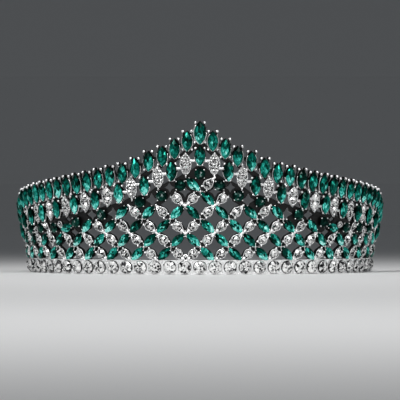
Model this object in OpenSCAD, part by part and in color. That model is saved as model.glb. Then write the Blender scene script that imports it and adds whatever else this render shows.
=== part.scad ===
// Crystal tiara: an openwork metal wall of green and clear stones on a curved band, with a loop at each end.
// The band's lower edge lies on z = 0, the front faces -Y, the origin is the centre of the band's circle.
// A place on the wall is an angle round the band from the front in degrees and a height up the slope in mm.

/* [Band] */
// Radius of the wall's front face at the lower edge
band_radius = 70; // [66:0.5:76]
// Lean of the wall outward from upright, in degrees
lean = 9.5; // [8:0.5:11]
// Height of the band along the slope
band_height = 6.1; // [6:0.1:6.2]
// Half of the angle that the band spans
band_reach = 97; // [96:0.5:98]
// How far the band's two rails stand out from its floor
rail_depth = 0.6; // [0.4:0.1:0.7]
// Width of each rail
rail_width = 0.3; // [0.25:0.05:0.35]

/* [Wall] */
// Thickness of the pierced wall
wall_thick = 1.1; // [0.9:0.1:1.5]
// Width of metal that shows round each upright stone
rim = 0.25; // [0.2:0.05:0.35]

/* [Stones] */
// Length of an upright pointed stone
navette_length = 8; // [7.6:0.1:8.2]
// Width of an upright pointed stone
navette_width = 4.2; // [3.8:0.1:4.3]
// Length of the large stone at the front of the crest
centre_length = 9.2; // [8.8:0.1:9.4]
// Width of the large stone at the front of the crest
centre_width = 4.8; // [4.2:0.1:4.9]
// Diameter of a band stone
band_stone = 5.2; // [4.6:0.1:5.3]
// Diameter of a round green stone
round_green = 4.5; // [3.8:0.1:4.6]
// Length of a lattice's pointed green stone
lattice_length = 7.3; // [6.6:0.1:7.4]
// Width of a lattice's pointed green stone
lattice_width = 3.5; // [2.9:0.1:3.6]
// Diameter of a lattice's clear stone
lattice_clear = 3.3; // [2.7:0.1:3.4]

/* [Rear arms] */
// Angle of each end loop's centre from the front
loop_angle = 126; // [122:1:130]
// Outer diameter of an end loop
loop_outer = 8.2; // [7.6:0.1:8.6]
// Diameter of the loop's wire
loop_wire = 1.3; // [1:0.1:1.5]
// Height of the arm's strip
arm_height = 2.6; // [2:0.1:3.2]
// Thickness of the arm's strip
arm_thick = 1; // [0.8:0.1:1.2]

/* [Hidden] */
$fn = 48;

// Columns of these tables: angle from the front, height up the slope
CREST_LINE = [
    [0, 57.7], [3.7, 54.3], [7.4, 51.2], [11.1, 48.2], [15.3, 46.2], [19.5, 43.4], [23.7, 41.3],
    [27.9, 40.2], [36.3, 37.9], [48.9, 35.3], [61.5, 33.3], [74.1, 31], [82.5, 27.5], [86.7, 24],
    [90.9, 18.5], [95.1, 12]
];
UPPER_LINE = [
    [0, 48.4], [4.2, 45], [8.5, 42.1], [12.7, 39.7], [17, 36.3], [21.2, 35.4], [25.4, 33.2],
    [33.9, 30.6], [42.4, 28.8], [50.9, 27], [59.4, 25.4], [67.8, 24.1], [76.3, 22.4], [80.6, 21.5],
    [84.8, 17.5], [89, 12]
];
ROUND_GREENS = [
    [0, 41.2], [5.9, 36.5], [11.7, 32.2], [18.7, 29.7], [32.2, 24.6],
    [42.6, 21.4], [53.7, 19.2], [62.1, 19.1], [70.5, 18.6]
];
SMALL_CLEARS = [[50.5, 20.4], [58.6, 19.8], [66.3, 18.2]];
// Columns: angle, height, reach of the window's corners
EDGE_WINDOWS = [
    [4.6, 33.8, 2.4], [9.3, 35.4, 2.1], [14.9, 30.2, 2.9], [28.2, 24.6, 3],
    [36.4, 24.2, 2.7], [44.6, 17, 2.4], [46.8, 22.4, 1.8]
];

// Crest row: closer together near the front
CREST_LAST = 22;
CREST_CLOSE = 3;
CREST_CLOSE_STEP = 3.7;
CREST_STEP = 4.2;
// Second row, where every other piece is a green stone
UPPER_LAST = 21;
UPPER_STEP = 4.24;
LEAF_LENGTH = 9.2;
LEAF_LAST = 5;
// Lattice: stones lean both ways from an axis a little left of the front
LATTICE_AXIS = -4.6;
LATTICE_STEP = 4.46;
LATTICE_FIRST_ROW = 8.6;
LATTICE_ROW = 5.65;
LATTICE_RIGHT = [20, 19, 10, 7, 3, 2];
LATTICE_LEFT = [18, 17, 8, 5, 1, 0];
LATTICE_SPREAD = 0.25;
BAND_STONES_EACH_SIDE = 19;
BAND_STEP = 4.95;
// A pointed green stone among the small clear ones on each side, and its roll
SIDE_GREEN = [47.3, 19.1];
SIDE_GREEN_ROLL = 75;

// Heights of the stones, and the small gap under them
stone_gap = 0.15;
navette_height = 2.3;
round_height = 2;
lattice_height = 1.7;
small_clear = 2.2;

// How far the metal stands out from the wall's front: the band's floor, a setting, a leaf
floor_proud = 0.1;
setting_proud = 0.1;
leaf_proud = 0.6;
// How far it stands behind the wall's back: the band, and a crest setting
band_behind = 0.15;
setting_behind = 0.1;
// How far the wall goes on past the middle of the last crest stone, in degrees, and its uncut height
wall_past = 1.6;
wall_top = 64;

// Windows, measured from the middle of the stones beside them
CREST_WINDOW = [-3.4, -2.2, -0.8];
UPPER_WINDOW = [-3.6, -2.2, 0, 1.9, 3.2];
CREST_WINDOWS_TO = 10;
UPPER_WINDOWS_TO = 18;
// Windows reach this near to the outline of the stones beside them, behind their settings
window_edge = 0.1;
// The wall's edge above a crest stone's middle: behind the stone, between two waists, between two feet
crest_rise = 1.5;
crest_waist = 0.6;
crest_foot = -3.1;
front_ear_drop = 0.6;
LATTICE_WINDOW_ROWS = 3;
lattice_corner = 4.3;
star_pinch = 0.37;
cut_depth = 4;
cut_top = 66;
// Where an arm starts inside the band, in degrees, how far it lies inside the wall, and the loop's lift
arm_overlap = 2;
arm_inset = 0.2;
loop_lift = 0.3;

function crest_name(i) =
    i == 0 ? "crest_stone_front" : str("crest_stone_", i < 0 ? "left_" : "right_", abs(i));
function side(i) = i < 0 ? -1 : 1;
function radius_at(slant) = band_radius + slant * sin(lean);

// A wall profile point in the plane of a radius and the axis, from its height up the slope and its depth
function profile(slant, depth) =
    [radius_at(slant) + depth * cos(lean), slant * cos(lean) - depth * sin(lean)];
function foot(depth) = profile(depth * tan(lean), depth);

// A point given beside a place on the wall: x along the band, y up the slope, z outward
function on_wall(angle, slant, p) =
    let (r = radius_at(slant + p.y) + p.z * cos(lean))
    [
        r * sin(angle) + p.x * cos(angle),
        p.x * sin(angle) - r * cos(angle),
        (slant + p.y) * cos(lean) - p.z * sin(lean)
    ];

// Half width of a pointed outline at a height y from its middle: two arcs, a circle if it is as long as wide
function flank(half_w, half_l, y) =
    let (arc = (half_l * half_l + half_w * half_w) / (2 * half_w))
    sqrt(max(0, arc * arc - y * y)) - (arc - half_w);

function outline(half_w, half_l, n) =
    let (arc = (half_l * half_l + half_w * half_w) / (2 * half_w), reach = asin(min(1, half_l / arc)))
    [for (k = [0:n - 1]) let (s = k < n / 2 ? 1 : -1, t = 2 * (k % (n / 2)) / (n / 2) - 1)
        [s * (arc * cos(reach * t) - (arc - half_w)), s * arc * sin(reach * t)]];

// Places along the crest row and the second row
function crest_angle(i) =
    let (k = abs(i), close = min(k, CREST_CLOSE))
    side(i) * (close * CREST_CLOSE_STEP + (k - close) * CREST_STEP);
function crest_place(i) = [crest_angle(i), lookup(abs(crest_angle(i)), CREST_LINE)];
function upper_place(j) = [j * UPPER_STEP, lookup(abs(j) * UPPER_STEP, UPPER_LINE)];

// Places in the lattice: a column c counts outward from the axis, and way is 1 to the right of it
function lattice_angle(way, c) = LATTICE_AXIS + way * (LATTICE_SPREAD + (c + 0.5) * LATTICE_STEP);
function lattice_slant(r) = LATTICE_FIRST_ROW + r * LATTICE_ROW;

// A stone's row: angle, slant, roll, half width, half length, height, lift of its back off the wall's front
function lattice_row(angle, slant, roll, half_w, half_l) =
    [angle, slant, roll, half_w, half_l, lattice_height, stone_gap];
function stones_of_lattice(way, counts, odd, half_w, half_l) =
    [for (r = [0:len(counts) - 1]) if (counts[r] > 0) for (c = [0:counts[r] - 1]) if ((c + r) % 2 == odd)
        lattice_row(lattice_angle(way, c), lattice_slant(r), way * (odd == 1 ? 45 : -45), half_w, half_l)];
function green_lattice(way, counts) =
    concat(
        stones_of_lattice(way, counts, 1, lattice_width / 2, lattice_length / 2),
        [lattice_row(
            way * SIDE_GREEN[0], SIDE_GREEN[1], way * SIDE_GREEN_ROLL, lattice_width / 2, lattice_length / 2
        )]
    );
function clear_lattice(way, counts) =
    concat(
        stones_of_lattice(way, counts, 0, lattice_clear / 2, lattice_clear / 2),
        [for (p = SMALL_CLEARS) lattice_row(way * p[0], p[1], 0, small_clear / 2, small_clear / 2)]
    );
band_rows = [for (k = [-BAND_STONES_EACH_SIDE:BAND_STONES_EACH_SIDE]) [
    k * BAND_STEP, band_height / 2, 0, band_stone / 2, band_stone / 2, round_height, floor_proud + stone_gap
]];
function navette_row(place, half_w, half_l) =
    [place[0], place[1], 0, half_w, half_l, navette_height, setting_proud + stone_gap];
upper_rows = [for (j = [-UPPER_LAST:UPPER_LAST]) if (j % 2 == 0)
    navette_row(upper_place(j), navette_width / 2, navette_length / 2)];
round_rows = [for (w = [-1, 1]) for (p = ROUND_GREENS) if (p[0] > 0 || w > 0)
    [w * p[0], p[1], 0, round_green / 2, round_green / 2, round_height, stone_gap]];

// A cut stone has three rings: a small back, the girdle, and the table
BACK = 0.55;
GIRDLE = 0.45;
TABLE = 0.5;
NAVETTE_SIDES = 12;
ROUND_SIDES = 10;
LATTICE_SIDES = 8;
function ring(row, size, rise, n) =
    [for (p = outline(row[3], row[4], n))
        let (q = [p.x * cos(row[2]) - p.y * sin(row[2]), p.x * sin(row[2]) + p.y * cos(row[2])])
        on_wall(row[0], row[1], [q.x * size, q.y * size, row[6] + rise * row[5]])];
function stone_points(row, n) =
    concat(ring(row, BACK, 0, n), ring(row, 1, GIRDLE, n), ring(row, TABLE, 1, n));
function stone_faces(b, n) = concat(
    [[for (k = [0:n - 1]) b + k]],
    [for (h = [b, b + n]) for (k = [0:n - 1]) let (m = (k + 1) % n) [h + k, h + n + k, h + n + m, h + m]],
    [[for (k = [n - 1:-1:0]) b + 2 * n + k]]
);

module stones(rows, n) {
    polyhedron(
        points = [for (row = rows) each stone_points(row, n)],
        faces = [for (i = [0:len(rows) - 1]) each stone_faces(3 * n * i, n)]
    );
}

// Places its children on the wall, with z outward and y up the slope
module at_wall(angle, slant) {
    rotate([0, 0, angle])
        translate([0, -radius_at(slant), slant * cos(lean)])
            rotate([90 + lean, 0, 0])
                children();
}

module cut(points) {
    translate([0, 0, -cut_depth])
        linear_extrude(height = 2 * cut_depth)
            polygon(points);
}

module swept(reach, points) {
    rotate([0, 0, -90 - reach])
        rotate_extrude(angle = 2 * reach)
            polygon(points);
}

// Four points with sides drawn in, the shape left between stones that meet at their ends
function star(corner) =
    [for (k = [0:7]) let (d = corner * (k % 2 == 0 ? 1 : star_pinch * sqrt(2)))
        [d * cos(45 * k), d * sin(45 * k)]];

// The opening between two neighbours on one row, at heights ys from their middles
function between(a, b, half_w, half_l, ys) =
    let (gap = radius_at((a[1] + b[1]) / 2) * (b[0] - a[0]) * PI / 180)
    let (step = (b[1] - a[1]) / 2, last = len(ys) - 1)
    concat(
        [for (y = ys) [-gap / 2 + flank(half_w, half_l, y) + window_edge, y - step]],
        [for (k = [last:-1:0]) [gap / 2 - flank(half_w, half_l, ys[k]) - window_edge, ys[k] + step]]
    );

module window_between(a, b, ys) {
    at_wall((a[0] + b[0]) / 2, (a[1] + b[1]) / 2)
        cut(between(a, b, navette_width / 2, navette_length / 2, ys));
}

function half_length(i) = i == 0 ? centre_length / 2 : navette_length / 2;
function half_width(i) = i == 0 ? centre_width / 2 : navette_width / 2;
// Height of a crest setting's two small points: at the stone's tip, and lower on the large front stone
function ear_height(i) = half_length(i) - (i == 0 ? front_ear_drop : 0);

// The right-hand edge of an upright setting, from its foot to its top
function setting_side(w, l) = [for (t = [-0.7, -0.35, 0, 0.35, 0.6]) [flank(w, l, t * l) + rim, t * l]];
// The small point at a crest setting's upper shoulder, with a notch between it and the stone's tip
function prong_ear(w, y) =
    [[w - 0.15, y + 0.3], [w - 0.5, y + 0.65], [w - 0.85, y + 0.3], [w - 1.05, y - 0.7]];
function mirrored(points) = [for (k = [len(points) - 1:-1:0]) [-points[k].x, points[k].y]];
function setting(w, l, ears) =
    let (half = concat(setting_side(w, l), ears))
    concat([[0, -l - rim]], half, [[0, l + rim]], mirrored(half));

// A flat plate on the wall from a depth behind its front face to a height in front of it
module plate(place, points, depth, proud) {
    at_wall(place[0], place[1])
        translate([0, 0, -depth])
            linear_extrude(height = depth + proud)
                polygon(points);
}

// The wall's top edge: up behind each crest stone and down between two, to their waist or to their feet
function crest_dip(i) = i >= CREST_WINDOWS_TO || i < -CREST_WINDOWS_TO ? crest_foot : crest_waist;
function crest_edge() =
    let (end = crest_place(CREST_LAST), past = [end[0] + 2 * wall_past, end[1] + crest_foot])
    concat(
        [[-past[0], past[1]]],
        [for (i = [-CREST_LAST:CREST_LAST]) let (a = crest_place(i), b = crest_place(i + 1)) each
            i == CREST_LAST ? [[a[0], a[1] + crest_rise]]
            : [[a[0], a[1] + crest_rise], [(a[0] + b[0]) / 2, (a[1] + b[1]) / 2 + crest_dip(i)]]],
        [past]
    );

// The open air above that edge, as one solid round the front of the wall
module above_crest() {
    edge = crest_edge();
    n = len(edge);
    function row(slants, z) = [for (k = [0:n - 1]) on_wall(edge[k][0], slants[k], [0, 0, z])];
    low = [for (p = edge) p[1]];
    high = [for (p = edge) cut_top];
    polyhedron(
        points = concat(
            row(low, -cut_depth), row(low, cut_depth), row(high, cut_depth), row(high, -cut_depth)
        ),
        faces = concat(
            [[3 * n, 2 * n, n, 0], [n - 1, 2 * n - 1, 3 * n - 1, 4 * n - 1]],
            [for (h = [0:3]) for (k = [0:n - 2]) let (a = h * n + k, b = (h + 1) % 4 * n + k)
                [a, b, b + 1, a + 1]]
        )
    );
}

module lattice_windows(way, counts) {
    for (j = [-1:LATTICE_WINDOW_ROWS])
        for (m = [abs(j) % 2:2:j < LATTICE_WINDOW_ROWS ? counts[j + 1] - 1 : counts[j + 1]])
            if (m > 0 || way > 0)
                at_wall(LATTICE_AXIS + way * m * LATTICE_STEP, lattice_slant(j + 0.5))
                    cut(star(lattice_corner));
}

module pierced_wall() {
    difference() {
        swept(
            crest_angle(CREST_LAST) + wall_past,
            [
                profile(band_height / 2, -wall_thick),
                profile(band_height / 2, 0),
                profile(wall_top, 0),
                profile(wall_top, -wall_thick)
            ]
        );
        above_crest();
        for (i = [-CREST_WINDOWS_TO:CREST_WINDOWS_TO - 1])
            window_between(crest_place(i), crest_place(i + 1), CREST_WINDOW);
        for (j = [-UPPER_WINDOWS_TO:UPPER_WINDOWS_TO - 1])
            window_between(upper_place(j), upper_place(j + 1), UPPER_WINDOW);
        lattice_windows(1, LATTICE_RIGHT);
        lattice_windows(-1, LATTICE_LEFT);
        for (way = [-1, 1])
            for (p = EDGE_WINDOWS)
                at_wall(way * p[0], p[1])
                    cut(star(p[2]));
    }
}

module band() {
    swept(band_reach, [
        foot(-wall_thick - band_behind),
        foot(floor_proud + rail_depth),
        profile(rail_width, floor_proud + rail_depth),
        profile(rail_width, floor_proud),
        profile(band_height - rail_width, floor_proud),
        profile(band_height - rail_width, floor_proud + rail_depth),
        profile(band_height, floor_proud + rail_depth),
        profile(band_height, -wall_thick - band_behind)
    ]);
}

module crest_settings() {
    for (i = [-CREST_LAST:CREST_LAST])
        plate(
            crest_place(i),
            setting(half_width(i), half_length(i), prong_ear(half_width(i), ear_height(i))),
            wall_thick + setting_behind,
            setting_proud
        );
}

// The second row's settings: every other one is a raised leaf for small stones set in pave or in pairs
module upper_settings() {
    for (j = [-UPPER_LAST:UPPER_LAST]) {
        leaf = j % 2 != 0;
        length = leaf && abs(j) <= LEAF_LAST ? LEAF_LENGTH : navette_length;
        plate(
            upper_place(j),
            setting(navette_width / 2, length / 2, []),
            wall_thick / 2,
            leaf ? leaf_proud : setting_proud
        );
    }
}

module arm_and_loop(way) {
    wire_r = loop_wire / 2;
    ring_r = loop_outer / 2 - wire_r;
    mid_r = band_radius - arm_inset - arm_thick / 2;
    mid_z = loop_outer / 2 + loop_lift;
    arm_end = loop_angle - ring_r / mid_r * 180 / PI;
    arm_start = band_reach - arm_overlap;
    rotate([0, 0, way > 0 ? -90 + arm_start : -90 - arm_end])
        rotate_extrude(angle = arm_end - arm_start)
            translate([mid_r - arm_thick / 2, mid_z - arm_height / 2])
                square([arm_thick, arm_height]);
    rotate([0, 0, way * loop_angle])
        translate([0, -mid_r, mid_z])
            rotate([90, 0, 0])
                rotate_extrude()
                    translate([ring_r, 0])
                        circle(r = wire_r);
}

module frame() {
    color("silver")
        union() {
            pierced_wall();
            band();
            crest_settings();
            upper_settings();
            arm_and_loop(1);
            arm_and_loop(-1);
        }
}

module band_stones() {
    color("whitesmoke")
        stones(band_rows, ROUND_SIDES);
}

module upper_stones() {
    color("seagreen")
        stones(upper_rows, NAVETTE_SIDES);
}

module round_green_stones() {
    color("darkgreen")
        stones(round_rows, ROUND_SIDES);
}

module lattice_green(way, counts) {
    color("mediumseagreen")
        stones(green_lattice(way, counts), LATTICE_SIDES);
}

module lattice_clear(way, counts) {
    color("white")
        stones(clear_lattice(way, counts), LATTICE_SIDES);
}

module crest_stone(i) {
    color("teal")
        stones([navette_row(crest_place(i), half_width(i), half_length(i))], NAVETTE_SIDES);
}

frame();
band_stones();
upper_stones();
round_green_stones();
lattice_green(-1, LATTICE_LEFT);  // lattice_green_left
lattice_green(1, LATTICE_RIGHT);  // lattice_green_right
lattice_clear(-1, LATTICE_LEFT);  // lattice_clear_left
lattice_clear(1, LATTICE_RIGHT);  // lattice_clear_right
for (i = [-CREST_LAST + 1:CREST_LAST - 1])
    crest_stone(i);
crest_stone(-CREST_LAST);  // crest_stone_end_left
crest_stone(CREST_LAST);  // crest_stone_end_right
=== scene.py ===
"""Crystal tiara: cut stones, their settings and the metal's finish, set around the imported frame."""

import math
import random

import bpy
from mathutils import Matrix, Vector


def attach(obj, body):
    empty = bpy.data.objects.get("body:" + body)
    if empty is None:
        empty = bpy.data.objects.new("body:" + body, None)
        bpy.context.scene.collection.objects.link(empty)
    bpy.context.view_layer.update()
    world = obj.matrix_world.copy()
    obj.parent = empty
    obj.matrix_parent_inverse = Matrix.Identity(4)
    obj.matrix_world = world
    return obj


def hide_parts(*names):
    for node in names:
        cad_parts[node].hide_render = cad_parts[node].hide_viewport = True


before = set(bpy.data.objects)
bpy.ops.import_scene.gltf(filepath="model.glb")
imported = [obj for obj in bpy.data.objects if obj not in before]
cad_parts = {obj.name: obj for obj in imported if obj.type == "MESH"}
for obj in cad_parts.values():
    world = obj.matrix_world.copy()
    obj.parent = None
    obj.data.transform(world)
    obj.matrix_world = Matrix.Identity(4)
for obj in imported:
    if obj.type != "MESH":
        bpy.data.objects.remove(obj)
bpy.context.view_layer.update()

# Lengths are in millimetres and angles in degrees, unless a comment says otherwise
MM = 0.001
BODY = "root"

# The wall that carries everything, as the frame has it. It leans outward as it rises, and a step is the
# angle between neighbours along it
WALL_RADIUS = 70
LEAN = math.radians(9.5)
BAND_STEP = 4.95
BAND_HEIGHT = 6.1
LATTICE_AXIS = -4.6
LATTICE_STEP = 4.46
LATTICE_FIRST_ROW = 8.6
LATTICE_ROW = 5.65
UPPER_STEP = 4.24
UPPER_LAST = 21
# The second row's line: angle from the front, and height up the slope there
UPPER_LINE = [
    (0, 48.4), (4.2, 45), (8.5, 42.1), (12.7, 39.7), (17, 36.3), (21.2, 35.4), (25.4, 33.2),
    (33.9, 30.6), (42.4, 28.8), (50.9, 27), (59.4, 25.4), (67.8, 24.1), (76.3, 22.4), (80.6, 21.5),
    (84.8, 17.5), (89, 12),
]


def metres(x, y, z):
    return Vector((x, y, z)) * MM


# Camera, lights and floor

# The camera has the photograph's side and distance, and is level with the tiara's middle
CAMERA_DISTANCE = 1600
CAMERA_ELEVATION = 0
VIEW_WIDTH = 164.5
VIEW_CENTRE = (0, -35, 30)
SENSOR_WIDTH = 36
FARTHEST_SEEN_METRES = 20

# Lights: name, place, aim, size, power and spread, with lengths in metres and power in watts
TIARA_FRONT = (0, -0.05, 0.03)
LIGHTS = [
    ("key", (-0.5, -0.9, 0.9), TIARA_FRONT, (0.35, 0.35), 0.27, 22),
    ("fill", (0.7, -0.9, 0.7), TIARA_FRONT, (0.3, 0.4), 0.14, 22),
    ("front", (0.1, -1.1, 0.75), TIARA_FRONT, (0.8, 0.3), 0.24, 22),
    ("floor_light", (0, -0.75, 1.3), (0, -0.65, 0), (0.9, 0.6), 2, 50),
]
STUDIO_COLOUR = (0.9, 0.95, 1, 1)
STUDIO_STRENGTH = 0.12

# Floor and backdrop, in metres: reach to the sides and the front, depth behind, radius of the bend, height
FLOOR_REACH, FLOOR_BACK, FLOOR_BEND, BACKDROP_TOP = 6, 3, 1.5, 4
BEND_STEPS = 6
FLOOR_COLOUR = (0.72, 0.72, 0.72, 1)
FLOOR_ROUGHNESS = 0.7


def add_camera():
    data = bpy.data.cameras.new("camera")
    data.sensor_width = SENSOR_WIDTH
    data.lens = SENSOR_WIDTH * CAMERA_DISTANCE / VIEW_WIDTH
    data.clip_end = FARTHEST_SEEN_METRES
    camera = bpy.data.objects.new("camera", data)
    bpy.context.scene.collection.objects.link(camera)
    rise = math.radians(CAMERA_ELEVATION)
    back = metres(0, -math.cos(rise), math.sin(rise)) * CAMERA_DISTANCE
    camera.location = metres(*VIEW_CENTRE) + back
    camera.rotation_euler = (math.radians(90) - rise, 0, 0)
    bpy.context.scene.camera = camera


def add_light(name, place, aim, size, power, spread):
    data = bpy.data.lights.new(name, "AREA")
    data.shape = "RECTANGLE"
    data.size, data.size_y = size
    data.energy = power
    data.spread = math.radians(spread)
    light = bpy.data.objects.new(name, data)
    light.location = place
    light.rotation_euler = (Vector(aim) - Vector(place)).to_track_quat("-Z", "Y").to_euler()
    bpy.context.scene.collection.objects.link(light)


def add_studio():
    for light in LIGHTS:
        add_light(*light)
    world = bpy.data.worlds.new("studio")
    world.use_nodes = True
    back = world.node_tree.nodes["Background"]
    back.inputs["Color"].default_value = STUDIO_COLOUR
    back.inputs["Strength"].default_value = STUDIO_STRENGTH
    bpy.context.scene.world = world
    bpy.context.scene.view_settings.view_transform = "Standard"


def floor_profile():
    """The floor from front to back as depth and height: flat, then a quarter round, then straight up."""
    profile = [(-FLOOR_REACH, 0), (FLOOR_BACK, 0)]
    for k in range(1, BEND_STEPS + 1):
        a = math.radians(90 * k / BEND_STEPS)
        profile.append((FLOOR_BACK + FLOOR_BEND * math.sin(a), FLOOR_BEND * (1 - math.cos(a))))
    profile.append((FLOOR_BACK + FLOOR_BEND, BACKDROP_TOP))
    return profile


def add_floor():
    """A pale floor that curves up into a backdrop far behind."""
    profile = floor_profile()
    points = [(x, y, z) for y, z in profile for x in (-FLOOR_REACH, FLOOR_REACH)]
    faces = [(2 * k, 2 * k + 1, 2 * k + 3, 2 * k + 2) for k in range(len(profile) - 1)]
    mesh = bpy.data.meshes.new("floor")
    mesh.from_pydata(points, [], faces)
    floor = bpy.data.objects.new("floor", mesh)
    bpy.context.scene.collection.objects.link(floor)
    material, _, shader = principled("pale_floor")
    shader.inputs["Base Color"].default_value = FLOOR_COLOUR
    shader.inputs["Roughness"].default_value = FLOOR_ROUGHNESS
    mesh.materials.append(material)


# Shader nodes


def principled(name):
    """A new material with its node tree and its main shader."""
    material = bpy.data.materials.new(name)
    material.use_nodes = True
    tree = material.node_tree
    shader = next(n for n in tree.nodes if n.type == "BSDF_PRINCIPLED")
    return material, tree, shader


def object_place(tree):
    return tree.nodes.new("ShaderNodeTexCoord").outputs["Object"]


def face_tone(tree):
    """The tone painted on each face of a piece: painted light and shade on the stones, painted shade on
    some metal.
    """
    node = tree.nodes.new("ShaderNodeAttribute")
    node.attribute_name = "tone"
    return node.outputs["Fac"]


def noise(tree, place, scale, detail):
    node = tree.nodes.new("ShaderNodeTexNoise")
    node.inputs["Scale"].default_value = scale
    node.inputs["Detail"].default_value = detail
    tree.links.new(place, node.inputs["Vector"])
    return node.outputs["Fac"]


def between(tree, share, low, high):
    """Spreads a share from 0 to 1 over the range from low to high."""
    node = tree.nodes.new("ShaderNodeMapRange")
    node.inputs["To Min"].default_value = low
    node.inputs["To Max"].default_value = high
    tree.links.new(share, node.inputs["Value"])
    return node.outputs["Result"]


def smooth_step(tree, value, limits):
    """0 below the first limit and 1 above the second; value is in metres and the limits in millimetres."""
    node = tree.nodes.new("ShaderNodeMapRange")
    node.interpolation_type = "SMOOTHSTEP"
    node.inputs["From Min"].default_value = limits[0] * MM
    node.inputs["From Max"].default_value = limits[1] * MM
    tree.links.new(value, node.inputs["Value"])
    return node.outputs["Result"]


def calculate(tree, kind, a, b):
    node = tree.nodes.new("ShaderNodeMath")
    node.operation = kind
    for k, value in enumerate((a, b)):
        if isinstance(value, (int, float)):
            node.inputs[k].default_value = value
        else:
            tree.links.new(value, node.inputs[k])
    return node.outputs["Value"]


def colour_ramp(tree, value, stops):
    node = tree.nodes.new("ShaderNodeValToRGB")
    elements = node.color_ramp.elements
    elements.remove(elements[1])
    for k, (at, colour) in enumerate(stops):
        stop = elements[0] if k == 0 else elements.new(at)
        stop.position = at
        stop.color = (*colour, 1)
    tree.links.new(value, node.inputs["Fac"])
    return node.outputs["Color"]


# Materials

# Each crystal's table of tones, from painted dark reflections up to painted highlights: share of the way up
# it, and the colour there
GREEN_TONES = [
    (0.0, (0.0, 0.002, 0.0015)), (0.25, (0.0, 0.01, 0.007)), (0.45, (0.0, 0.044, 0.032)),
    (0.62, (0.003, 0.16, 0.12)), (0.78, (0.035, 0.42, 0.35)), (0.9, (0.18, 0.8, 0.7)),
    (1.0, (0.5, 1.0, 0.93)),
]
# The last stop is the grey of a painted glint
DARK_TONES = [
    (0.0, (0.0, 0.002, 0.0015)), (0.5, (0.0, 0.012, 0.009)), (0.75, (0.003, 0.045, 0.032)),
    (0.88, (0.02, 0.11, 0.08)), (0.95, (0.3, 0.36, 0.36)),
]
CLEAR_TONES = [
    (0.0, (0.006, 0.006, 0.007)), (0.3, (0.08, 0.08, 0.085)), (0.6, (0.36, 0.36, 0.36)),
    (1.0, (0.95, 0.95, 0.94)),
]
# How far the fine grain inside a stone, a painted sparkle, moves its tone either way
GREEN_GRAIN, DARK_GRAIN, CLEAR_GRAIN = 0.3, 0.2, 0.4
# Features per metre of the grain and of the metal's pits and clouds, and the grain's upright stretch
FINE_SCALE = 1500
CLOUD_SCALE = 260
GRAIN_STRETCH = (1, 1, 0.45)


def crystal(name, tones, grain_share):
    """Cut glass on foil: every facet has a painted tone, the light that it would throw back from inside
    painted into its colour.
    """
    material, tree, shader = principled(name)
    streaks = tree.nodes.new("ShaderNodeMapping")
    streaks.inputs["Scale"].default_value = GRAIN_STRETCH
    tree.links.new(object_place(tree), streaks.inputs["Vector"])
    grain = noise(tree, streaks.outputs["Vector"], FINE_SCALE, 1)
    tone = calculate(tree, "ADD", face_tone(tree), between(tree, grain, -grain_share, grain_share))
    tree.links.new(colour_ramp(tree, tone, tones), shader.inputs["Base Color"])
    shader.inputs["Metallic"].default_value = 0.4
    shader.inputs["Roughness"].default_value = 0.1
    shader.inputs["Specular IOR Level"].default_value = 0.06
    return material


# Where the painted shade on the frame's wall ends and its plating shows bright: outward from the wall's
# front, inward at its rear face, and backward where the arms start
FRONT_LIMITS = (0.12, 0.3)
REAR_LIMITS = (0.95, 1.05)
ARM_LIMITS = (8.5, 9.5)
# The colour of the shade painted on the wall's front between the settings
RECESS_PAINTED_SHADE = 0.02


def painted_recess_shade(tree, place):
    """0 on the wall's front between the settings, where shade is painted dark on the plating, and 1 on what
    stands out.
    """
    parts = tree.nodes.new("ShaderNodeSeparateXYZ")
    tree.links.new(place, parts.inputs["Vector"])
    x, y, z = (parts.outputs[axis] for axis in "XYZ")
    across = calculate(tree, "ADD", calculate(tree, "MULTIPLY", x, x), calculate(tree, "MULTIPLY", y, y))
    out = calculate(tree, "SUBTRACT", calculate(tree, "POWER", across, 0.5), WALL_RADIUS * MM)
    outward = calculate(tree, "MULTIPLY", out, math.cos(LEAN))
    depth = calculate(tree, "SUBTRACT", outward, calculate(tree, "MULTIPLY", z, math.sin(LEAN)))
    front = smooth_step(tree, depth, FRONT_LIMITS)
    rear = smooth_step(tree, calculate(tree, "MULTIPLY", depth, -1), REAR_LIMITS)
    arms = smooth_step(tree, y, ARM_LIMITS)
    return calculate(tree, "MAXIMUM", calculate(tree, "MAXIMUM", front, rear), arms)


def pits(tree, place):
    bump = tree.nodes.new("ShaderNodeBump")
    bump.inputs["Strength"].default_value = 0.25
    bump.inputs["Distance"].default_value = 0.08 * MM
    tree.links.new(noise(tree, place, FINE_SCALE, 2), bump.inputs["Height"])
    return bump.outputs["Normal"]


def silver(name, with_painted_shade=False):
    """Plated metal, uneven as a casting is, with painted shade: dark in the wall's recesses, or by its
    faces' tone.
    """
    material, tree, shader = principled(name)
    place = object_place(tree)
    cloud = noise(tree, place, CLOUD_SCALE, 3)
    # Painted shade: dark between the settings on the wall's front
    if with_painted_shade:
        share = between(tree, painted_recess_shade(tree, place), RECESS_PAINTED_SHADE, 1)
    else:
        share = face_tone(tree)
    shade = calculate(tree, "MULTIPLY", between(tree, cloud, 0.9, 1), share)
    tint = tree.nodes.new("ShaderNodeCombineColor")
    for channel in ("Red", "Green", "Blue"):
        tree.links.new(shade, tint.inputs[channel])
    tree.links.new(tint.outputs["Color"], shader.inputs["Base Color"])
    tree.links.new(between(tree, cloud, 0.24, 0.44), shader.inputs["Roughness"])
    tree.links.new(pits(tree, place), shader.inputs["Normal"])
    shader.inputs["Metallic"].default_value = 0.85
    return material


# Places on the wall


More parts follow.
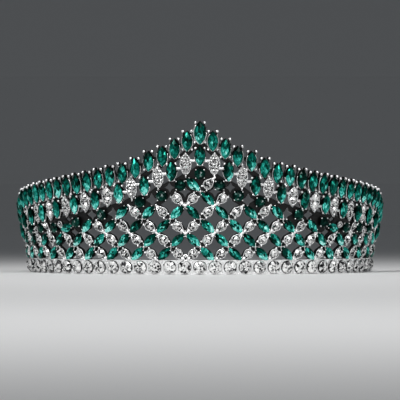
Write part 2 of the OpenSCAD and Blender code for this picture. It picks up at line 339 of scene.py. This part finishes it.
class Spot:
    """A place on the wall: x runs to the viewer's right along the band, y up the slope, z outward."""

    def __init__(self, angle, slant, roll=0):
        self.angle, self.slant, self.roll = angle, slant, roll

    def __call__(self, x, y, z):
        turn = math.radians(self.roll)
        u = x * math.cos(turn) - y * math.sin(turn)
        v = x * math.sin(turn) + y * math.cos(turn)
        r = WALL_RADIUS + (self.slant + v) * math.sin(LEAN) + z * math.cos(LEAN)
        a = math.radians(self.angle)
        return metres(
            r * math.sin(a) + u * math.cos(a),
            u * math.sin(a) - r * math.cos(a),
            (self.slant + v) * math.cos(LEAN) - z * math.sin(LEAN),
        )


def beside(spot, x, y):
    """The same place moved along the wall."""
    return lambda u, v, z: spot(x + u, y + v, z)


def lookup(x, table):
    for (x0, y0), (x1, y1) in zip(table, table[1:]):
        if x <= x1:
            return y0 + (y1 - y0) * (x - x0) / (x1 - x0)
    return table[-1][1]


def upper_spot(j):
    """The place of one stone or leaf of the second row, counted from the front to the viewer's right."""
    angle = j * UPPER_STEP
    return Spot(angle, lookup(abs(angle), UPPER_LINE))


def solids_in(node):
    """The separate solids of a frame node, each as a list of points."""
    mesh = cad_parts[node].data
    keys = [tuple(round(c / MM, 3) for c in v.co) for v in mesh.vertices]
    group = {key: key for key in keys}

    def root(key):
        while group[key] != key:
            group[key] = group[group[key]]
            key = group[key]
        return key

    for face in mesh.polygons:
        first, *others = (root(keys[v]) for v in face.vertices)
        for other in others:
            group[root(other)] = root(first)
    solids = {}
    for key in group:
        solids.setdefault(root(key), []).append(key)
    return sorted(solids.values())


def unrolled(point, angle):
    """A point as seen from a place on the wall: along the band, up the slope and outward."""
    a = math.radians(angle)
    out = point[0] * math.sin(a) - point[1] * math.cos(a) - WALL_RADIUS
    along = point[0] * math.cos(a) + point[1] * math.sin(a)
    up = out * math.sin(LEAN) + point[2] * math.cos(LEAN)
    return along, up, out * math.cos(LEAN) - point[2] * math.sin(LEAN)


# A stone at least this wide for its length is round
ROUND_SHARE = 0.9


class Stone:
    """Where a stone of the frame lies and how big it is."""

    def __init__(self, points):
        n = len(points)
        x, y = (sum(p[k] for p in points) / n for k in range(2))
        self.angle = math.degrees(math.atan2(x, -y))
        flat = [unrolled(p, self.angle) for p in points]
        self.slant = sum(q[1] for q in flat) / n
        self.back = min(q[2] for q in flat)
        self.height = max(q[2] for q in flat) - self.back
        self.measure([(q[0], q[1] - self.slant) for q in flat])

    def measure(self, around):
        """Half length and half width, and how far the stone leans from upright."""
        far = max(around, key=lambda q: math.hypot(*q))
        self.half_l = math.hypot(*far)
        self.roll = math.degrees(math.atan2(-far[0], far[1]))
        if abs(self.roll) > 90:
            self.roll -= math.copysign(180, self.roll)
        turn = math.radians(self.roll)
        self.half_w = max(abs(x * math.cos(turn) + y * math.sin(turn)) for x, y in around)
        if self.half_w > ROUND_SHARE * self.half_l:
            self.roll, self.half_w = 0, self.half_l

    def spot(self):
        return Spot(self.angle, self.slant, self.roll)


# Mesh making


class Shape:
    """Points and faces of one piece as it grows, with a tone for each face."""

    def __init__(self):
        self.points, self.faces, self.tones = [], [], []

    def add(self, points, faces, tones=None):
        first = len(self.points)
        self.points += points
        self.faces += [tuple(first + k for k in face) for face in faces]
        self.tones += tones or [1.0] * len(faces)

    def piece(self, name, material, slot, smooth=True):
        mesh = bpy.data.meshes.new(name)
        mesh.from_pydata(self.points, [], self.faces)
        tone = mesh.attributes.new("tone", "FLOAT", "FACE")
        tone.data.foreach_set("value", self.tones)
        mesh.polygons.foreach_set("use_smooth", [smooth] * len(mesh.polygons))
        mesh.materials.append(material)
        obj = bpy.data.objects.new(name, mesh)
        bpy.context.scene.collection.objects.link(obj)
        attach(obj, BODY)
        return obj


def flank_radius(half_w, half_l):
    """The radius of the two arcs that make a pointed outline."""
    return (half_l**2 + half_w**2) / (2 * half_w)


def flank(half_w, half_l, y):
    """How far a pointed outline reaches sideways at a height."""
    arc = flank_radius(half_w, half_l)
    return math.sqrt(max(0, arc * arc - y * y)) - (arc - half_w)


def outline(half_w, half_l, n):
    """A pointed outline, or a circle where it is as long as wide, from its lower tip to the right."""
    arc = flank_radius(half_w, half_l)
    reach = math.asin(min(1, half_l / arc))
    points = []
    for k in range(n):
        side = 1 if k < n / 2 else -1
        t = reach * (4 * (k % (n // 2)) / n - 1)
        points.append((side * (arc * math.cos(t) - arc + half_w), side * arc * math.sin(t)))
    return points


def ball(shape, centre, radius, segments=8, rings=5):
    top = Vector((0, 0, radius * MM))
    points = [centre + top]
    for r in range(1, rings):
        tilt = math.pi * r / rings
        for s in range(segments):
            turn = 2 * math.pi * s / segments
            points.append(centre + radius * MM * Vector((
                math.sin(tilt) * math.cos(turn), math.sin(tilt) * math.sin(turn), math.cos(tilt)
            )))
    points.append(centre - top)
    last = len(points) - 1
    faces = [(0, 1 + s, 1 + (s + 1) % segments) for s in range(segments)]
    for r in range(rings - 2):
        a, b = 1 + r * segments, 1 + (r + 1) * segments
        faces += [(a + s, b + s, b + (s + 1) % segments, a + (s + 1) % segments) for s in range(segments)]
    a = 1 + (rings - 2) * segments
    faces += [(a + s, last, a + (s + 1) % segments) for s in range(segments)]
    shape.add(points, faces)


def wire(shape, path, radius, sides=6, closed=False, tone=1.0):
    """A round wire along a path of points; radius is one number, or one for each point."""
    n = len(path)
    radii = radius if isinstance(radius, list) else [radius] * n
    points = []
    side = None
    for k in range(n):
        before = path[k - 1] if k > 0 or closed else path[k]
        after = path[(k + 1) % n] if k < n - 1 or closed else path[k]
        ahead = (after - before).normalized()
        if side is None:
            side = ahead.orthogonal()
        side = (side - ahead * side.dot(ahead)).normalized()
        up = ahead.cross(side)
        for s in range(sides):
            turn = 2 * math.pi * s / sides
            points.append(path[k] + radii[k] * MM * (side * math.cos(turn) + up * math.sin(turn)))
    faces = []
    for k in range(n if closed else n - 1):
        a, b = k * sides, (k + 1) % n * sides
        faces += [(a + s, a + (s + 1) % sides, b + (s + 1) % sides, b + s) for s in range(sides)]
    if not closed:
        faces.append(tuple(range(sides - 1, -1, -1)))
        faces.append(tuple(range((n - 1) * sides, n * sides)))
    shape.add(points, faces, [tone] * len(faces))


# Cut stones


def gem_points(spot, half_w, half_l, back, height, sides):
    """A cut stone's rings of points, from the table to the back, and the middle of its table last."""
    def ring(scale, level, first=0, step=1):
        points = outline(half_w * scale, half_l * scale, 2 * sides)
        return [spot(*point, back + level * height) for point in points[first::step]]

    table = ring(0.48, 1, 0, 2)
    inner = ring(0.3, 0.96, 1, 2)
    kites = ring(0.8, 0.8, 1, 2)
    girdle = ring(1, 0.5)
    under = ring(1, 0.42)
    rear = ring(0.55, 0)
    return table + inner + kites + girdle + under + rear + [spot(0, 0, back + 0.98 * height)]


def gem_facets(sides):
    """A cut stone's facets: corners, kind, and how far round from its lower tip as a share of a turn."""
    n = 2 * sides
    table, inner, kites, girdle = 0, sides, 2 * sides, 3 * sides
    under, rear, middle = girdle + n, girdle + 2 * n, girdle + 3 * n
    facets = []
    for s in range(sides):
        after, before = (s + 1) % sides, (s - 1) % sides
        low, mid, high = girdle + 2 * s, girdle + 2 * s + 1, girdle + (2 * s + 2) % n
        facets += [
            ((table + s, table + after, inner + s), "rim", s / sides),
            ((inner + before, table + s, inner + s, middle), "heart", s / sides),
            ((table + s, kites + s, table + after), "star", s / sides),
            ((table + s, kites + before, low, kites + s), "kite", s / sides),
            ((kites + s, low, mid), "edge", s / sides),
            ((kites + s, mid, high), "edge", s / sides),
        ]
    for s in range(n):
        after = (s + 1) % n
        facets += [
            ((girdle + s, under + s, under + after, girdle + after), "belt", s / n),
            ((under + s, rear + s, rear + after, under + after), "belt", s / n),
        ]
    facets.append((tuple(rear + s for s in range(n - 1, -1, -1)), "belt", 0))
    return facets


def gem(shape, spot, half_w, half_l, back, height, tone_of, sides=8):
    """A cut stone: a table that shows the facets under it, stars, kites and girdle facets, a plain back."""
    points = gem_points(spot, half_w, half_l, back, height, sides)
    facets = gem_facets(sides)
    tones = []
    for corners, kind, turn in facets:
        centre = sum((points[v] for v in corners), Vector()) / len(corners)
        rise = (centre - points[-1]).z / (half_l * MM)
        tones.append(min(1, max(0, tone_of(kind, rise, turn))))
    shape.add(points, [corners for corners, kind, turn in facets], tones)


# Tones of the facets, as shares of the way up each crystal's table of tones: painted light and shade. Each
# maker gives one stone's tones by a facet's kind, its rise from the lower tip at -1 to the upper at 1, and
# its turn round the stone

INSIDE = ("heart", "rim")
GREEN_BASE = {"heart": 0.51, "rim": 0.51, "star": 0.5, "kite": 0.48, "edge": 0.44}
# What a green stone's facets gain, painted light below the middle and painted shade above it: rise on the
# stone, and the gain there
GREEN_PAINTED_LIGHT_BY_RISE = [(-1, 0.24), (-0.6, 0.22), (-0.25, 0.15), (0.1, 0), (0.4, 0), (0.6, -0.1), (1, -0.2)]
GREEN_BELT = 0.2
# How far patches differ, on the whole and in the lattice, then facets in a patch, and stones
GREEN_SPREAD = 0.24
LATTICE_SPREAD = 0.34
FACET_SPREAD = 0.05
STONE_SPREAD = 0.04
PATCHES_ROUND = 7


def patchy(rng, spread):
    """Neighbouring facets share a draw, inside the table and round it, so a stone shows large patches."""
    drawn = {}

    def patch(kind, turn):
        key = (kind in INSIDE, int(turn * PATCHES_ROUND))
        if key not in drawn:
            drawn[key] = rng.uniform(-spread, spread)
        return drawn[key] + rng.uniform(-FACET_SPREAD, FACET_SPREAD)

    return patch


def green_tone(rng, lift=0.0, spread=GREEN_SPREAD):
    """Greens have painted light below the middle and painted shade above it."""
    whole = rng.gauss(lift, STONE_SPREAD)
    patch = patchy(rng, spread)

    def tone(kind, rise, turn):
        if kind == "belt":
            return GREEN_BELT
        return GREEN_BASE[kind] + whole + lookup(rise, GREEN_PAINTED_LIGHT_BY_RISE) + patch(kind, turn)

    return tone


def lattice_tone(rng, lift=0.0):
    """The lattice's small greens differ more from patch to patch."""
    return green_tone(rng, lift, LATTICE_SPREAD)


# How far round its table a round green has a painted glint, and the share of these stones that have one
PAINTED_GLINT_TURN = 3 / 8
PAINTED_GLINT_SHARE = 0.5


def round_tone(rng, lift=0.0):
    """Round greens have the other greens' tones, and about half of them have a painted glint in one place.
    """
    plain = green_tone(rng, lift)
    has_painted_glint = rng.random() < PAINTED_GLINT_SHARE

    def tone(kind, rise, turn):
        # A painted glint: the brightest tone on the facets at that turn
        if has_painted_glint and kind in INSIDE and turn == PAINTED_GLINT_TURN:
            return 1
        return plain(kind, rise, turn)

    return tone


# The share of a clear stone's facets of each kind painted dark, as throwing back no light, and the tones of
# both sorts; the bright tones are painted reflections
CLEAR_DARK = {"heart": 0.35, "rim": 0.4, "star": 0.5, "kite": 0.35, "edge": 0.25}
CLEAR_RANGES = ((-0.1, 0.28), (0.62, 1.05))
BAND_DARK = {"heart": 0.4, "rim": 0.4, "star": 0.5, "kite": 0.28, "edge": 0.22}
BAND_RANGES = ((0, 0.4), (0.68, 1.05))
CLEAR_BELT = 0.4


def clear_tone(rng, lift=0.0, dark_share=CLEAR_DARK, ranges=CLEAR_RANGES):
    """Clear stones have painted white reflections on most facets and are painted dark on the others."""
    dark, bright = ranges

    def tone(kind, rise, turn):
        if kind == "belt":
            return CLEAR_BELT
        low, high = dark if rng.random() < dark_share[kind] else bright
        return lift + rng.uniform(low, high)

    return tone


def band_tone(rng, lift=0.0):
    """The larger clear stones along the band have a bright edge and softer dark facets, painted light and
    shade.
    """
    return clear_tone(rng, lift, BAND_DARK, BAND_RANGES)


def cut_stones(material, slot, tone_maker, nodes, lift=0.0, sides=8):
    """Replaces each node's plain stones with fully cut ones in the same places."""
    stones = []
    for node in nodes:
        rng = random.Random(node)
        shape = Shape()
        for points in solids_in(node):
            stone = Stone(points)
            stones.append(stone)
            tone_of = tone_maker(rng, lift)
            gem(shape, stone.spot(), stone.half_w, stone.half_l, stone.back, stone.height, tone_of, sides)
        piece = shape.piece("cut_" + node, material, slot, smooth=False)
        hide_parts(node)
    return stones


# Settings of the crest and the second row

# The prongs' stalks carry a painted dark reflection of the gaps between the stones; their radii run from
# foot to tip
PRONG_PAINTED_SHADE = 0.3
STALK_RADII = [0.14, 0.16, 0.2]
# How far a side wire runs outside its stone, across and at the tips
RIM_GAP_ACROSS, RIM_GAP_ALONG = 0.15, 0.2
# The crest's front stone is the only one longer than this from its middle to its tip
LARGE_STONE = 4.3
CREST_BALL, CREST_LOW_BALL = 0.6, 0.48
CREST_WIRE, LARGE_WIRE = 0.14, 0.25
UPPER_BALL, UPPER_LOW_BALL = 0.5, 0.44
UPPER_WIRE = 0.13


def side_rim(shape, stone, sign, start, stop, z, radius, n=12):
    """A thin wire along one side of a pointed stone, between two shares of its half length."""
    spot = stone.spot()
    w, l = stone.half_w + RIM_GAP_ACROSS, stone.half_l + RIM_GAP_ALONG
    heights = [l * (start + (stop - start) * k / (n - 1)) for k in range(n)]
    wire(shape, [spot(sign * flank(w, l, y), y, z) for y in heights], radius)


def round_rim(shape, spot, radius, z, wire_radius, n=20):
    turns = [2 * math.pi * k / n for k in range(n)]
    path = [spot(radius * math.cos(a), radius * math.sin(a), z) for a in turns]
    wire(shape, path, wire_radius, closed=True)


def ball_prong(shape, spot, sign, places, radius):
    """A prong from a setting to its ball, by places across, up and outward, mirrored where sign is -1."""
    path = [spot(sign * x, y, z) for x, y, z in places]
    # The stalk is painted dark: a painted reflection of the gaps
    wire(shape, path, STALK_RADII, tone=PRONG_PAINTED_SHADE)
    ball(shape, path[-1], radius, segments=12, rings=8)


def crest_settings(stones):
    """Each crest stone has two tall ball-tipped prongs, two low ones, and thin uneven side wires."""
    shape = Shape()
    rng = random.Random("crest")
    for stone in stones:
        spot, w, l = stone.spot(), stone.half_w, stone.half_l
        large = l > LARGE_STONE
        wire_radius = LARGE_WIRE if large else CREST_WIRE
        tip = (w - 0.6, l - 0.35, 0.9) if large else (w - 0.4, l + 0.1, 0.9)
        tall = [(w + 0.05, 0.4 * l, 0.2), (w - 0.15, 0.7 * l, 0.7), tip]
        low_foot = (flank(w, l, -0.5 * l) + 0.1, -0.5 * l, 0.1)
        low = [low_foot, (w - 0.1, -0.66 * l, 0.5), (w - 0.25, -0.82 * l, 0.8)]
        for sign in (-1, 1):
            side_rim(shape, stone, sign, -0.95, rng.uniform(-0.1, 0.75), 0.75, wire_radius)
            ball_prong(shape, spot, sign, tall, CREST_BALL)
            ball_prong(shape, spot, sign, low, CREST_LOW_BALL)
    shape.piece("crest_settings", METAL, "silver_metal")


def upper_settings(stones):
    """The second row's greens each have four ball-tipped prongs and a thin wire along the lower edges."""
    shape = Shape()
    for stone in stones:
        spot, w, l = stone.spot(), stone.half_w, stone.half_l
        tall = [(w - 0.1, 0.45 * l, 0.1), (w - 0.15, 0.65 * l, 0.6), (w - 0.3, 0.8 * l, 0.95)]
        low_foot = (flank(w, l, -0.7 * l) + 0.1, -0.7 * l, 0.1)
        low = [low_foot, (1.05, -0.8 * l, 0.6), (0.9, -0.9 * l, 0.9)]
        for sign in (-1, 1):
            side_rim(shape, stone, sign, -0.98, -0.1, 0.7, UPPER_WIRE)
            ball_prong(shape, spot, sign, tall, UPPER_BALL)
            ball_prong(shape, spot, sign, low, UPPER_LOW_BALL)
    shape.piece("upper_settings", METAL, "silver_metal")


# Leaves of the second row

# The last leaf from the front that has small stones all over, and how far a leaf stands out
LEAF_LAST = 5
LEAF_PROUD = 0.6
LEAF_HALF_WIDTH, PAVE_LEAF_HALF, PAIR_LEAF_HALF = 2.1, 4.6, 4
LEAF_STONE_BACK = LEAF_PROUD - 0.1
BED_POINTS = 16
# The leaf's bed is a sheet painted dark: painted shade between the small stones
BED_PAINTED_SHADE = 0.2
EDGE_GRAINS, EDGE_GRAIN_RADIUS = 18, 0.27
# The front leaves' small stones: height and places across of each row, and the grains beside them
PAVE_RADIUS, PAVE_STONE_HEIGHT = 0.67, 0.75
PAVE_ROWS = [
    (-3.75, [0]), (-2.6, [-0.63, 0.63]), (-1.35, [-1.22, 0, 1.22]), (-0.1, [-0.63, 0.63]),
    (1.15, [-1.25, 0, 1.25]), (2.4, [-0.63, 0.63]), (3.6, [0]),
]
GRAIN_ACROSS, GRAIN_UP, GRAIN_RADIUS = 0.63, 0.62, 0.22
# The other leaves' stones, one above the other: height up the leaf and radius of each
PAIR = [(1.95, 1.42), (-1.55, 1.5)]
PAIR_STONE_HEIGHT = 1.3
# The other leaves' stones get brighter painted reflections by this much
PAIR_LIFT = 0.12
PAIR_RIM_GAP, PAIR_RIM_WIRE = 0.14, 0.14
# The bars that hold a leaf to its neighbours, with a section given by places up and outward
BAR_LENGTH = 1.8
BAR_SECTION = [(-0.5, 0.25), (-0.5, 0.75), (-0.25, 0.95), (0.25, 0.95), (0.5, 0.75), (0.5, 0.25)]
PAVE_BAR_START, PAIR_BAR_START = 1.95, 1.6
# The bar towards the front sits higher on the leaf than the other
INNER_BAR, OUTER_BAR = 1.4, -1.7


def leaf_bed(spot, metal, half_l):
    """A sheet painted dark between a leaf's stones as painted shade, inside its bright edge of small
    grains.
    """
    n = BED_POINTS
    edge = outline(LEAF_HALF_WIDTH, half_l - 0.1, n)
    rim = [spot(x, y, LEAF_PROUD + 0.03) for x, y in edge]
    under = [spot(x, y, LEAF_PROUD - 0.1) for x, y in edge]
    faces = [tuple(range(n))]
    faces += [(k, n + k, n + (k + 1) % n, (k + 1) % n) for k in range(n)]
    faces.append(tuple(range(2 * n - 1, n - 1, -1)))
    metal.add(rim + under, faces, [BED_PAINTED_SHADE] * len(faces))
    for x, y in outline(LEAF_HALF_WIDTH - 0.12, half_l - 0.3, EDGE_GRAINS):
        ball(metal, spot(x, y, LEAF_PROUD + 0.1), EDGE_GRAIN_RADIUS)


def bar(metal, spot, start, end, y):
    """A flat bar from a leaf to its neighbour, with its edges a little lower than its middle."""
    n = len(BAR_SECTION)
    points = [spot(x, y + dy, z) for x in sorted((start, end)) for dy, z in BAR_SECTION]
    faces = [(k, (k + 1) % n, n + (k + 1) % n, n + k) for k in range(n)]
    metal.add(points, faces + [tuple(range(n - 1, -1, -1)), tuple(range(n, 2 * n))])


def leaf_stone(stones, place, radius, height, tone_of, sides=8):
    """A small round stone that stands on a leaf."""
    gem(stones, place, radius, radius, LEAF_STONE_BACK, height, tone_of, sides)


def pave_leaf(spot, stones, metal, rng):
    """A leaf with small stones set close over it, grains between them and a stem."""
    leaf_bed(spot, metal, PAVE_LEAF_HALF)
    for y, xs in PAVE_ROWS:
        inside = flank(LEAF_HALF_WIDTH, PAVE_LEAF_HALF, y + GRAIN_UP) - 0.2
        for x in xs:
            place = beside(spot, x, y)
            leaf_stone(stones, place, PAVE_RADIUS, PAVE_STONE_HEIGHT, clear_tone(rng), sides=6)
            for side in (-GRAIN_ACROSS, GRAIN_ACROSS):
                if abs(x + side) < inside:
                    grain = spot(x + side, y + GRAIN_UP, LEAF_PROUD + 0.3)
                    ball(metal, grain, GRAIN_RADIUS, segments=6, rings=4)
    wire(metal, [spot(0, -4.2, 0.9), spot(0, -5.4, 0.6)], [0.3, 0.36])


def pair_leaf(spot, stones, metal, rng):
    """A leaf with two stones in rims, one above the other, and a stem at both ends."""
    leaf_bed(spot, metal, PAIR_LEAF_HALF)
    for y, radius in PAIR:
        place = beside(spot, 0, y)
        leaf_stone(stones, place, radius, PAIR_STONE_HEIGHT, clear_tone(rng, PAIR_LIFT))
        round_rim(metal, place, radius + PAIR_RIM_GAP, LEAF_PROUD + 0.4, PAIR_RIM_WIRE)
    wire(metal, [spot(0, -2.9, 1.1), spot(0, -4.4, 0.9)], [0.3, 0.2])
    wire(metal, [spot(0, 3.2, 1.1), spot(0, 4.1, 0.9)], [0.3, 0.2])


def leaf_work():
    """The raised leaves' small clear stones, their settings, and the bars beside every leaf."""
    stones, metal, bars = Shape(), Shape(), Shape()
    rng = random.Random("leaves")
    for j in range(-UPPER_LAST, UPPER_LAST + 1, 2):
        spot = upper_spot(j)
        front = abs(j) <= LEAF_LAST
        fill_leaf, start = (pave_leaf, PAVE_BAR_START) if front else (pair_leaf, PAIR_BAR_START)
        fill_leaf(spot, stones, metal, rng)
        outward = 1 if j > 0 else -1
        for sign, y in ((-outward, INNER_BAR), (outward, OUTER_BAR)):
            bar(bars, spot, sign * start, sign * (start + BAR_LENGTH), y)
    stones.piece("leaf_stones", CLEAR, "clear_glass", smooth=False)
    metal.piece("leaf_settings", METAL, "silver_metal")
    bars.piece("leaf_bars", METAL, "silver_metal", smooth=False)


# Settings of the lattice and the round greens

# A clear stone's teardrop cup: room round the stone, wire, and how far from its tail it opens, in degrees
CUP_GAP, CUP_WIRE, CUP_OPENING, CUP_STEPS = 0.2, 0.19, 58, 14
# The two prongs at a cup's head: turn either way, reach of foot and tip, and radius of the ball
HEAD_TURN, HEAD_FOOT, HEAD_TIP, HEAD_BALL = 32, 1.75, 2.4, 0.45
CROSSING_BALL = 0.52
GREEN_GRAIN_RADIUS = 0.26
ROUND_GREEN_GRAIN = 0.28
# A clear stone farther than this from every row, as a share of their distance, belongs to no crossing
OFF_ROW = 0.02
OFF_ROW_RIM_GAP, OFF_ROW_RIM_WIRE = 0.2, 0.16
# Tips of greens closer than this meet in a ball with a small cross of wire, painted a little darker as
# painted shade
MEETING, MEETING_BALL, MEETING_ARM, MEETING_PAINTED_SHADE = 1.4, 0.45, 1.15, 0.7
# The lattice's halves meet in nodes on its axis: the rows of those that have a short stem below
STEM_ROWS = (1.5, 3.5)
# The peak that stands on the band: half width and height, then radius and places of its balls
PEAK_HALF, PEAK_HEIGHT = 1.9, 2.3
PEAK_BALL = 0.45
PEAK_BALLS = ((-0.75, 0.45), (0.75, 0.45), (0, 1.3))


def lattice_cup(shape, stone, row):
    """A teardrop cup round a clear stone: its tail ends in a crossing, and two prongs stand at its head."""
    spot = Spot(stone.angle, stone.slant)

    def round_place(radius, a, z):
        return spot(radius * math.cos(a), radius * math.sin(a), z)

    ring = stone.half_w + CUP_GAP
    way = 1 if stone.angle > LATTICE_AXIS else -1
    end = 1 if row % 2 else -1
    across = math.radians(LATTICE_STEP / 2) * WALL_RADIUS
    tail = (end * way * across, end * LATTICE_ROW / 2)
    toward = math.atan2(tail[1], tail[0])
    tip = spot(*tail, 0.6)
    sweep = 360 - 2 * CUP_OPENING
    cup = [toward + math.radians(CUP_OPENING + k * sweep / CUP_STEPS) for k in range(CUP_STEPS + 1)]
    wire(shape, [tip, *(round_place(ring, a, 0.75) for a in cup), tip], CUP_WIRE)
    wire(shape, [spot(0.5 * tail[0], 0.5 * tail[1], 0.5), tip], [0.6, 0.38], sides=8)
    for turn in (-HEAD_TURN, HEAD_TURN):
        a = toward + math.pi + math.radians(turn)
        out = round_place(HEAD_TIP, a, 0.9)
        wire(shape, [round_place(HEAD_FOOT, a, 0.5), out], [0.3, 0.27])
        ball(shape, out, HEAD_BALL)
    return tip


def green_meetings(greens):
    """Places where the tips of two lattice greens meet."""
    tips = {}
    for stone in greens:
        for end in (-1, 1):
            tip = stone.spot()(0, end * (stone.half_l + 0.35), 0.5)
            near = (place for place in tips if (Vector(place) - tip).length < MEETING * MM)
            tips.setdefault(next(near, tuple(tip)), []).append(tip)
    return [sum(met, Vector()) / len(met) for met in tips.values() if len(met) > 1]


def green_grains(shape, greens):
    """Four small grains near the tips of each lattice green."""
    for stone in greens:
        spot, l = stone.spot(), stone.half_l
        beside_tip = flank(stone.half_w, l, 0.8 * l) + 0.15
        for end in (-1, 1):
            for sign in (-1, 1):
                grain = spot(sign * beside_tip, end * 0.8 * l, 0.9)
                ball(shape, grain, GREEN_GRAIN_RADIUS, segments=6, rings=4)


def clear_cups(shape, clears):
    """Cups for the stones on the lattice's rows, plain rims for the others, and a ball at each crossing."""
    crossings = set()
    for stone in clears:
        row = (stone.slant - LATTICE_FIRST_ROW) / LATTICE_ROW
        if abs(row - round(row)) > OFF_ROW:
            round_rim(shape, stone.spot(), stone.half_w + OFF_ROW_RIM_GAP, 0.7, OFF_ROW_RIM_WIRE)
            continue
        tip = lattice_cup(shape, stone, round(row))
        crossings.add(tuple(round(c, 4) for c in tip))
    for tip in sorted(crossings):
        ball(shape, Vector(tip), CROSSING_BALL, segments=10, rings=7)


def band_peak(shape):
    """The small openwork peak that stands on the band at the lattice's axis."""
    foot = Spot(LATTICE_AXIS, BAND_HEIGHT)
    for side in (-1, 1):
        wire(shape, [foot(side * PEAK_HALF, 0, 0.5), foot(side * 0.1, PEAK_HEIGHT, 0.5)], 0.25)
    for x, y in PEAK_BALLS:
        ball(shape, foot(x, y, 0.45), PEAK_BALL, segments=8, rings=6)


def lattice_settings(greens, clears):
    shape = Shape()
    green_grains(shape, greens)
    clear_cups(shape, clears)
    for place in green_meetings(greens):
        ball(shape, place, MEETING_BALL, segments=10, rings=6)
        along = Vector((-place.y, place.x, 0)).normalized() * MM
        for arm in (along * MEETING_ARM, Vector((0, 0, MEETING_ARM * MM))):
            # The cross's wires are painted a little darker: painted shade
            wire(shape, [place - arm, place + arm], 0.24, tone=MEETING_PAINTED_SHADE)
    band_peak(shape)
    for row in STEM_ROWS:
        node = Spot(LATTICE_AXIS, LATTICE_FIRST_ROW + row * LATTICE_ROW)
        wire(shape, [node(0, 0.3, 0.6), node(0, -1.4, 0.5)], [0.5, 0.32], sides=8)
    shape.piece("lattice_settings", METAL, "silver_metal")


def round_green_settings(stones):
    """Four small grains hold each round green."""
    shape = Shape()
    for stone in stones:
        spot, reach = stone.spot(), stone.half_w + 0.1
        for turn in (45, 135, 225, 315):
            a = math.radians(turn)
            ball(shape, spot(reach * math.cos(a), reach * math.sin(a), 1.1), ROUND_GREEN_GRAIN)
    shape.piece("round_green_settings", METAL, "silver_metal")


# Settings of the band

# The plate between two band stones: how far it stands out, its half height, its least half width,
# and the gap that it leaves round a stone, dark where the frame's painted shade shows through
PLATE_FRONT = 0.62
PLATE_HALF = 2.72
PLATE_NECK = 0.14
PLATE_GAP = 0.16
PLATE_STEPS = 12
# The beads on a plate: height and radius of those on its middle line, then of those beside it
BEAD_UP, BEAD_RADIUS = 2.2, 0.36
SIDE_BEAD_ACROSS, SIDE_BEAD_UP, SIDE_BEAD_RADIUS = 0.45, 1.5, 0.3


def bow_tie(shape, middle, half_pitch, stone_radius):
    """A plate whose sides follow the two round stones beside it: wide at both rails, narrow between."""
    n = PLATE_STEPS
    points = []
    for k in range(n + 1):
        y = PLATE_HALF * (2 * k / n - 1)
        reach = half_pitch - math.sqrt(max(0, (stone_radius + PLATE_GAP) ** 2 - y * y))
        x = max(PLATE_NECK, reach)
        points += [middle(-x, y, 0.05), middle(-x, y, PLATE_FRONT)]
        points += [middle(x, y, PLATE_FRONT), middle(x, y, 0.05)]
    faces = []
    for k in range(n):
        a, b = 4 * k, 4 * k + 4
        faces += [(a + s, a + (s + 1) % 4, b + (s + 1) % 4, b + s) for s in range(4)]
    faces += [(3, 2, 1, 0), tuple(4 * n + s for s in range(4))]
    shape.add(points, faces)


def band_settings(stones):
    """Bright plates between the band's stones, with beads of metal towards both ends of each."""
    shape = Shape()
    half_pitch = math.radians(BAND_STEP / 2) * (WALL_RADIUS + 1)
    last = max(stone.angle for stone in stones)
    for stone in stones:
        if stone.angle == last:
            continue
        middle = Spot(stone.angle + BAND_STEP / 2, BAND_HEIGHT / 2)
        bow_tie(shape, middle, half_pitch, stone.half_w)
        for y in (-BEAD_UP, BEAD_UP):
            ball(shape, middle(0, y, PLATE_FRONT), BEAD_RADIUS)
        for x in (-SIDE_BEAD_ACROSS, SIDE_BEAD_ACROSS):
            for y in (-SIDE_BEAD_UP, SIDE_BEAD_UP):
                ball(shape, middle(x, y, PLATE_FRONT + 0.15), SIDE_BEAD_RADIUS)
    shape.piece("band_settings", METAL, "silver_metal", smooth=False)


# The scene

add_camera()
add_studio()
add_floor()

METAL = silver("silver_metal")
# The frame's wall has shade painted dark into its recesses
WALL_METAL = silver("silver_metal_with_painted_shade", with_painted_shade=True)
GREEN = crystal("green_crystal", GREEN_TONES, GREEN_GRAIN)
DARK = crystal("dark_green_crystal", DARK_TONES, DARK_GRAIN)
CLEAR = crystal("clear_crystal", CLEAR_TONES, CLEAR_GRAIN)
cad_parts["frame"].data.materials.clear()
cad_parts["frame"].data.materials.append(WALL_METAL)

CREST_NODES = [name for name in sorted(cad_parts) if name.startswith("crest_stone_")]
LATTICE_GREENS = ["lattice_green_left", "lattice_green_right"]
LATTICE_CLEARS = ["lattice_clear_left", "lattice_clear_right"]

crest = cut_stones(GREEN, "green_glass", green_tone, CREST_NODES)
upper = cut_stones(GREEN, "green_glass", green_tone, ["upper_stones"])
# The lattice greens get slightly brighter painted light
lattice_greens = cut_stones(GREEN, "green_glass", lattice_tone, LATTICE_GREENS, lift=0.02)
rounds = cut_stones(DARK, "dark_green_glass", round_tone, ["round_green_stones"])
lattice_clears = cut_stones(CLEAR, "clear_glass", clear_tone, LATTICE_CLEARS)
band = cut_stones(CLEAR, "clear_glass", band_tone, ["band_stones"], sides=10)

crest_settings(crest)
upper_settings(upper)
leaf_work()
lattice_settings(lattice_greens, lattice_clears)
round_green_settings(rounds)
band_settings(band)
